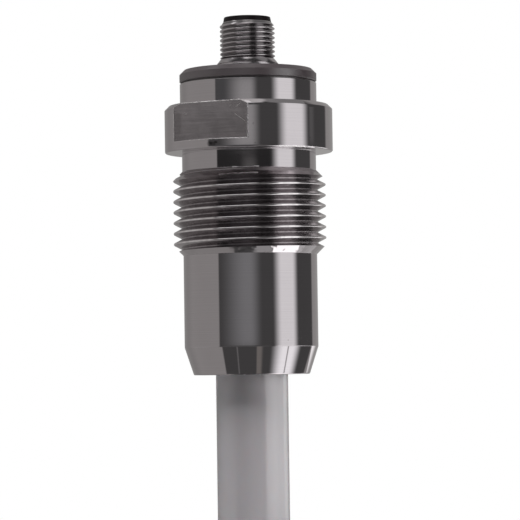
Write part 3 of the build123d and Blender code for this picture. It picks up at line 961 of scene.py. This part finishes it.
slotFinishes = {
    "cap_plastic": grainyMaterial(
        "satinCap", (0.033, 0.024, 0.027, 1), 0.36,
        depth=0.000001, IOR=1.8, Specular_IOR_Level=0.8
    ),
    "insert_plastic": grainyMaterial(
        "blackInsert", (0.0045, 0.003, 0.0035, 1), 0.4, IOR=1.3, Specular_IOR_Level=0.3
    ),
    "sheath_polymer": grainyMaterial(
        "waxySheath", (0.36, 0.34, 0.355, 1), 0.16,
        spread=0.02, IOR=1.9, Subsurface_Weight=0.1, Subsurface_Scale=0.002
    ),
    "gold_contact": grainyMaterial("goldPlate", (0.83, 0.62, 0.28, 1), 0.2, Metallic=1.0),
    "inner_steel": turnedSteel("innerSteel", turnedFinish),
    "nickel_brass": grainyMaterial("nickelPlate", (0.6, 0.56, 0.48, 1), 0.25, Metallic=1.0),
    "tinned_brass": grainyMaterial("tinnedSheet", (0.62, 0.6, 0.54, 1), 0.35, Metallic=1.0),
    "bush_polymer": grainyMaterial("tanBush", (0.55, 0.42, 0.28, 1), 0.4),
    "carrier_plastic": grainyMaterial("blackCarrier", colour(0.06), 0.45),
    "board_laminate": grainyMaterial("greenLaminate", (0.02, 0.16, 0.07, 1), 0.25),
    "chip_plastic": grainyMaterial("chipBody", colour(0.03), 0.5),
    "capacitor_ceramic": grainyMaterial("tanCeramic", (0.45, 0.33, 0.2, 1), 0.4),
    "ferrite": grainyMaterial("greyFerrite", colour(0.08), 0.5),
    "seal_rubber": grainyMaterial("blackRubber", colour(0.015), 0.55),
}
for row in frame["record"]["subparts"]:
    finish = slotFinishes.get(row["material_slot"])
    if finish:
        dress(frame["nodes"][row["node"]], finish)
print("finishes made")


# The studio: a white room, a pale floor, and a tent of cards that only reflections see
studio = {
    "tentRadius": 0.2,
    "tentTop": 0.27,
    "tentColumns": 180,
    "clothLift": 0.0005,
    "gain": 1.14,  # of every card
    "wallGrey": colour(0.335, 0.02),
    "ceilingGrey": colour(0.6, 0.01),
    "clothGrey": colour(0.3, 0.02),
    "floorRadius": 6.0,
    "floorColumns": 96,
    "floorGrey": colour(0.68),
    "floorRoughness": 0.6,
    "floorSpecular": 0.2,
    "fadeStart": 0.2,
    "fadeEnd": 0.6,
    "ambient": 0.05,  # light the white gives, against how it looks
}

# Cards of light, by turns in degrees to the right of the front and by levels in metres
wallCards = [
    {"turn": (-182, -181, -140, -112), "level": (-9, -8, 8, 9), "light": colour(0.27, 0.02)},
    {"turn": (-56, -53, 123, 129), "level": (-9, -8, 8, 9), "light": colour(0.075)},
    {"turn": (86, 90, 92, 100), "level": (0.056, 0.06, 0.07, 0.072), "light": colour(0.13)},
    {"turn": (-56, -53, 4, 16), "level": (0.064, 0.068, 0.1, 0.12), "light": colour(0.09, -0.02)},
    {"turn": (-42, -6, 2, 17), "level": (0.0555, 0.0562, 0.0765, 0.0785), "light": colour(0.37, 0.0)},
    {"turn": (-56, -6, -2, 20), "level": (0, 0.002, 0.045, 0.048), "light": colour(0.25, -0.02)},
    {"turn": (-55, -53, 32, 42), "level": (0.046, 0.048, 0.0555, 0.0562), "light": colour(0.028)},
    {"turn": (-18, 0, 4, 18), "level": (0.046, 0.048, 0.052, 0.0545), "light": colour(0.12, 0.01)},
    {"turn": (-62, -50, 125, 140), "level": (0.11, 0.14, 8, 9), "light": colour(0.07)},
    {"turn": (-60, -50, 6, 16), "level": (0.12, 0.14, 0.2, 0.22), "light": colour(1.5)},
    {"turn": (36, 53, 73, 87), "level": (-0.006, -0.003, 0.2, 0.24), "light": colour(1.0, -0.005)},
    {"turn": (34, 62, 78, 100), "level": (-9, -8, -0.09, -0.07), "light": colour(1.3, -0.01)},
    {"turn": (67.4, 68.8, 70, 71.4), "level": (-9, -8, -0.09, -0.07), "light": colour(0.45)},
    {"turn": (-28.5, -27, -26, -24.5), "level": (-9, -8, -0.09, -0.07), "light": colour(0.17)},
    {"turn": (8, 11, 16, 23), "level": (-9, -8, -0.09, -0.07), "light": colour(0.2, 0.06)},
    {"turn": (118, 152, 181, 182), "level": (-9, -8, -0.09, -0.07), "light": colour(0.6)},
    {"turn": (-125, -110, -84, -70), "level": (-0.052, -0.048, -0.006, -0.003), "light": colour(0.42)},
    {"turn": (-60, -50, 20, 40), "level": (-0.052, -0.048, -0.006, -0.003), "light": colour(0.13)},
    {"turn": (36, 48, 130, 149), "level": (-0.052, -0.048, -0.006, -0.003), "light": colour(1.3)},
]
ceilingCards = [
    {"turn": (-181, -180, 180, 181), "level": (0.036, 0.055, 8, 9), "light": colour(0.26)},
    {"turn": (-110, -85, 70, 90), "level": (0.036, 0.05, 8, 9), "light": colour(0.05)},
    {"turn": (-70, -50, 10, 20), "level": (0.004, 0.01, 0.04, 0.05), "light": colour(1.0)},
    {"turn": (-160, -150, -120, -110), "level": (0.1, 0.11, 0.14, 0.15), "light": colour(1.2)},
]
clothCards = [
    {"turn": (-181, -180, 180, 181), "level": (-2, -1, 0.042, 0.067), "light": colour(0.06)},
    {"turn": (-58, -45, 30, 45), "level": (0.03, 0.04, 8, 9), "light": colour(0.08)},
    {"turn": (0, 32, 92, 100), "level": (0.018, 0.024, 0.058, 0.066), "light": colour(0.38)},
    {"turn": (44, 56, 126, 134), "level": (0.066, 0.076, 0.16, 0.19), "light": colour(1.8)},
    {"turn": (112, 122, 150, 160), "level": (0.15, 0.17, 8, 9), "light": colour(0.62)},
]


# White where the view or a reflection looks, and dim for the light it gives
def whiteStrength(shader, part):
    rays = shader.add("LightPath").socket.node.outputs
    camera, glossy, through = [Link(shader, rays[k]) for k in (
        "Is Camera Ray", "Is Glossy Ray", "Is Transmission Ray"
    )]
    seen = (camera + glossy + through) > 0.5
    return part["ambient"] + seen * (1 - part["ambient"])


def studioWorld(part):
    world = bpy.data.worlds.new("whiteRoom")
    bpy.context.scene.world = world
    shader = Shader(world)
    background = shader.tree.nodes["Background"]
    shader.feed(background, {"Color": (1, 1, 1, 1), "Strength": whiteStrength(shader, part)})


def seenByReflectionsOnly(piece):
    piece.visible_camera = False
    piece.visible_diffuse = False
    piece.visible_shadow = False
    piece.visible_transmission = False
    piece.visible_volume_scatter = False
    piece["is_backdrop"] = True


# Light that is painted card by card; the level is a height on a wall and a radius on a disc
def cardLight(name, grey, cards, upright):
    material = bpy.data.materials.new(name)
    shader = Shader(material)
    shader.tree.nodes.clear()
    place, (x, y, z) = shader.axes()
    turn = shader.add("Math", {"operation": "ARCTAN2"}, {0: y, 1: x}) * (360 / whole)
    level = z if upright else farFromAxis(shader, x, y)
    light = grey
    for card in cards:
        mask = shader.within(turn, card["turn"]) * shader.within(level, card["level"])
        light = shader.blend(mask, light, card["light"])
    glow = shader.add("Emission", {}, {"Color": light, "Strength": studio["gain"]})
    output = shader.tree.nodes.new("ShaderNodeOutputMaterial")
    shader.tree.links.new(glow.socket, output.inputs[0])
    return material


def tentPiece(name, mesh, height, material):
    piece = meshObject(name, mesh)
    piece.location.z = height
    piece.rotation_euler.z = math.radians(frontAngle)
    piece.data.materials.append(material)
    seenByReflectionsOnly(piece)


def reflectionTent(part):
    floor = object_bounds()[0][2] + part["clothLift"]
    count = part["tentColumns"]
    radius = part["tentRadius"]
    mesh = bmesh.new()
    rings = []
    for height in (floor, part["tentTop"]):
        angles = [whole * k / count for k in range(count)]
        rings.append([mesh.verts.new((radius * math.cos(a), radius * math.sin(a), height)) for a in angles])
    low, high = rings
    for k in range(count):
        after = (k + 1) % count
        mesh.faces.new((low[k], high[k], high[after], low[after]))
    tentPiece("tentWall", mesh, 0, cardLight("wallCards", part["wallGrey"], wallCards, True))
    discs = (
        ("tentCeiling", part["tentTop"], part["ceilingGrey"], ceilingCards),
        ("tentCloth", floor, part["clothGrey"], clothCards),
    )
    for name, height, grey, cards in discs:
        mesh = bmesh.new()
        bmesh.ops.create_circle(mesh, cap_ends=True, segments=count, radius=radius)
        tentPiece(name, mesh, height, cardLight(name + "Cards", grey, cards, False))


def studioFloor(part):
    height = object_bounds()[0][2]
    mesh = bmesh.new()
    bmesh.ops.create_circle(mesh, cap_ends=True, segments=part["floorColumns"], radius=part["floorRadius"])
    floor = meshObject("studioFloor", mesh)
    floor.location.z = height
    shader = newMaterial(
        "paleFloor", Base_Color=part["floorGrey"],
        Roughness=part["floorRoughness"], Specular_IOR_Level=part["floorSpecular"]
    )
    place = shader.add("TexCoord", output="Object")
    away = shader.add("VectorMath", {"operation": "LENGTH"}, {0: place}, "Value")
    fade = shader.add("MapRange", {}, {0: away, 1: part["fadeStart"], 2: part["fadeEnd"]})
    glow = shader.add("Emission", {}, {"Color": (1, 1, 1, 1), "Strength": whiteStrength(shader, part)})
    pale = Link(shader, shader.surface.outputs[0])
    mixed = shader.add("MixShader", {}, {0: fade, 1: pale, 2: glow})
    shader.tree.links.new(mixed.socket, shader.tree.nodes["Material Output"].inputs[0])
    floor.data.materials.append(shader.owner)
    floor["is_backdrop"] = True


# Soft lamps by their azimuth to the right of the front, in degrees, and height over the origin
lamps = [
    {"name": "keyLamp", "azimuth": 75, "height": 0.15, "distance": 1.1, "size": 0.5, "power": 7.5},
    {"name": "fillLamp", "azimuth": -95, "height": 0.15, "distance": 1.2, "size": 0.8, "power": 2},
    {"name": "backLamp", "azimuth": 172, "height": 0.15, "distance": 1.1, "size": 0.8, "power": 7},
    {"name": "topLamp", "azimuth": -20, "height": 1.1, "distance": 0.55, "size": 0.6, "power": 18},
]


def placeLamps(lamps):
    for lamp in lamps:
        light = bpy.data.lights.new(lamp["name"], "AREA")
        light.size = lamp["size"]
        light.energy = lamp["power"]
        lampObject = bpy.data.objects.new(lamp["name"], light)
        bpy.context.scene.collection.objects.link(lampObject)
        polar = math.radians(frontAngle + lamp["azimuth"])
        place = Vector((math.cos(polar), math.sin(polar), 0)) * lamp["distance"]
        place.z = lamp["height"]
        lampObject.location = place
        lampObject.rotation_euler = (-place).to_track_quat("-Z", "Y").to_euler()
        lampObject.visible_glossy = False
        lampObject.visible_camera = False


studioWorld(studio)
studioFloor(studio)
reflectionTent(studio)
placeLamps(lamps)
bpy.context.scene.view_settings.view_transform = "Standard"
print("studio lit")
